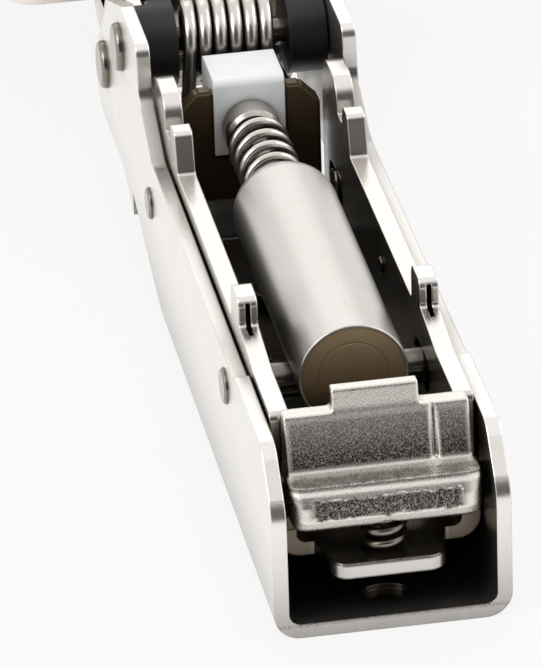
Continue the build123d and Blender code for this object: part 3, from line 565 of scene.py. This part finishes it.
def prism(first, second):
    """A closed solid between two rings of as many points."""
    bm = bmesh.new()
    rings = [[bm.verts.new(Vector(point) * MM) for point in ring] for ring in (first, second)]
    bm.faces.new(rings[0])
    bm.faces.new(list(reversed(rings[1])))
    for i in range(len(first)):
        j = (i + 1) % len(first)
        bm.faces.new((rings[0][j], rings[0][i], rings[1][i], rings[1][j]))
    bmesh.ops.recalc_face_normals(bm, faces=bm.faces)
    return bm


def bevel(bm, edges, width, segments):
    bmesh.ops.bevel(
        bm, geom=edges, offset=width * MM, segments=segments, affect="EDGES",
        clamp_overlap=True,
    )


def finished(bm, name):
    mesh = bpy.data.meshes.new(name)
    bm.to_mesh(mesh)
    bm.free()
    return mesh


def fit_guide_plate():
    """A dark saddle over the slider's stem, which fills the channel on both sides of it."""
    rear, front = 53.1, 54.4
    inner, outer, top, sill, foot = 2.62, 5.2, 15.0, 9.7, 6.3
    chamfer, edge = 1.4, 0.2
    outline = [
        (-outer, foot), (outer, foot), (outer, top - chamfer), (outer - chamfer, top),
        (inner, top), (inner, sill), (-inner, sill), (-inner, top),
        (chamfer - outer, top), (-outer, top - chamfer),
    ]
    bm = prism(*([(x, y, z) for y, z in outline] for x in (rear, front)))
    bevel(bm, list(bm.edges), edge, segments=3)
    place_piece("guide_plate", finished(bm, "guide_plate"), "slider", "plug_bronze")


def form_tongue():
    """A tip around the end of the carrier's tongue, with round corners and a worn rim."""
    half, radius, front, back, foot, top = 3.93, 1.25, 0.74, 2.55, 3.54, 4.66
    steps, worn = 16, 0.12
    flat = 1e-9  # metres
    outline = [(back, half), (back, -half)]
    for side in (-1, 1):
        for step in range(steps + 1):
            turn = math.radians(90.0 * step / steps)
            if side > 0:
                turn = math.radians(90.0) - turn
            along = front + radius - radius * math.sin(turn)
            outline.append((along, side * (half - radius + radius * math.cos(turn))))
    bm = prism(*([(x, y, z) for x, y in outline] for z in (foot, top)))
    rims = [
        edge for edge in bm.edges
        if abs(edge.verts[0].co.z - edge.verts[1].co.z) < flat
    ]
    bevel(bm, rims, worn, segments=2)
    place_piece("tongue_end", finished(bm, "tongue_end"), "carrier", "carrier_nickel")


def turn_rivet(name, centre, side, radius, rise, body):
    """A domed rivet head on a wall that faces side along Y."""
    steps, turns, fullness = 6, 24, 0.8
    bm = bmesh.new()
    rings = []
    for i in range(steps):
        angle = math.radians(90.0 * i / steps)
        reach, height = radius * math.cos(angle) ** fullness, rise * math.sin(angle)
        rings.append([
            bm.verts.new(Vector((
                centre[0] + reach * math.cos(2 * math.pi * j / turns),
                centre[1] + side * height,
                centre[2] + reach * math.sin(2 * math.pi * j / turns),
            )) * MM)
            for j in range(turns)
        ])
    crown = bm.verts.new(Vector((centre[0], centre[1] + side * rise, centre[2])) * MM)
    for lower, upper in zip(rings, rings[1:]):
        for j in range(turns):
            k = (j + 1) % turns
            bm.faces.new((lower[j], lower[k], upper[k], upper[j]))
    for j in range(turns):
        bm.faces.new((rings[-1][j], rings[-1][(j + 1) % turns], crown))
    bm.faces.new(list(reversed(rings[0])))
    bmesh.ops.recalc_face_normals(bm, faces=bm.faces)
    mesh = finished(bm, name)
    shade_smooth(mesh)
    place_piece(name, mesh, body, "pin_steel")


dress_lever()
dress_spring(
    "rod_spring", "rod_coil", "arm",
    axis=(1, 0, 0), anchor=(41.02, 0, 12.2),
)
dress_spring(
    "lever_spring", "lever_coil", "carrier",
    axis=(0, 0, 1), anchor=(3.1, 0, 4.6), girth=0.88,
)
fit_guide_plate()
form_tongue()
turn_rivet(
    "right_wall_rivet", centre=(31.84, -5.53, 10.6), side=1, radius=0.62, rise=0.32,
    body="carrier",
)


# ---------------------------------------------------------------- floor and light
def lay_floor():
    """A white sheet that the camera and the metal see as plain white, with a faint shadow."""
    half, drop = 1.5, 0.02 * MM  # metres
    paint_level, glow_level, glow_share = 0.80, 0.98, 0.88
    mesh = bpy.data.meshes.new("floor")
    corners = [(-half, -half, 0), (half, -half, 0), (half, half, 0), (-half, half, 0)]
    mesh.from_pydata(corners, [], [(0, 1, 2, 3)])
    floor = bpy.data.objects.new("floor", mesh)
    floor.location.z = cad_low.z - drop
    bpy.context.scene.collection.objects.link(floor)
    made, g = material("floor")
    path = g.add("ShaderNodeLightPath").outputs
    seen = g.math("MAXIMUM", path["Is Camera Ray"], path["Is Glossy Ray"])
    share = g.math("MULTIPLY", seen, glow_share)
    paint = g.add("ShaderNodeBsdfDiffuse", {"Color": grey(paint_level)}).outputs[0]
    glow = {"Color": grey(glow_level), "Strength": 1.0}
    glow = g.add("ShaderNodeEmission", glow).outputs[0]
    shown = g.add("ShaderNodeMixShader", {0: share, 1: paint, 2: glow}).outputs[0]
    g.add("ShaderNodeOutputMaterial", {"Surface": shown})
    mesh.materials.append(made)


def light_world():
    """A white tent with a dim opening low on the side of the rear mouth."""
    gap_side = Vector((-0.94, 0.10, 0.32)).normalized()
    gap_edge = (0.70, 0.90)  # cosines of the angle from the middle of the opening
    tent_level, gap_level, ambient_level, backdrop_level = 0.95, 0.06, 0.72, 1.0
    world = bpy.data.worlds.new("studio")
    bpy.context.scene.world = world
    world.use_nodes = True
    g = Graph(world.node_tree)
    path = g.add("ShaderNodeLightPath").outputs
    direction = g.add("ShaderNodeTexCoord").outputs["Generated"]
    inputs = {0: direction, 1: gap_side}
    near = g.add("ShaderNodeVectorMath", inputs, operation="DOT_PRODUCT").outputs["Value"]
    tent = g.blend(g.remap(near, *gap_edge), grey(tent_level), grey(gap_level))
    colour = g.blend(path["Is Glossy Ray"], grey(ambient_level), tent)
    colour = g.blend(path["Is Camera Ray"], colour, grey(backdrop_level))
    background = g.add("ShaderNodeBackground", {"Color": colour, "Strength": 1.0}).outputs[0]
    g.add("ShaderNodeOutputWorld", {"Surface": background})


def hang_softbox(name, place, size, power):
    """A soft lamp that faces the middle of the part. It is in metres and watts."""
    data = bpy.data.lights.new(name, "AREA")
    data.shape = "RECTANGLE"
    data.size, data.size_y = size
    data.energy = power
    lamp = bpy.data.objects.new(name, data)
    lamp.location = place
    middle = (cad_low + cad_high) / 2
    lamp.rotation_euler = (Vector(place) - middle).to_track_quat("Z", "Y").to_euler()
    bpy.context.scene.collection.objects.link(lamp)


lay_floor()
light_world()
hang_softbox("key", place=(-0.10, 0.55, 0.55), size=(0.5, 0.5), power=2.0)
hang_softbox("fill", place=(0.15, -0.6, 0.45), size=(0.5, 0.4), power=1.0)
hang_softbox("rear", place=(0.7, 0.0, 0.5), size=(0.6, 0.4), power=0.35)
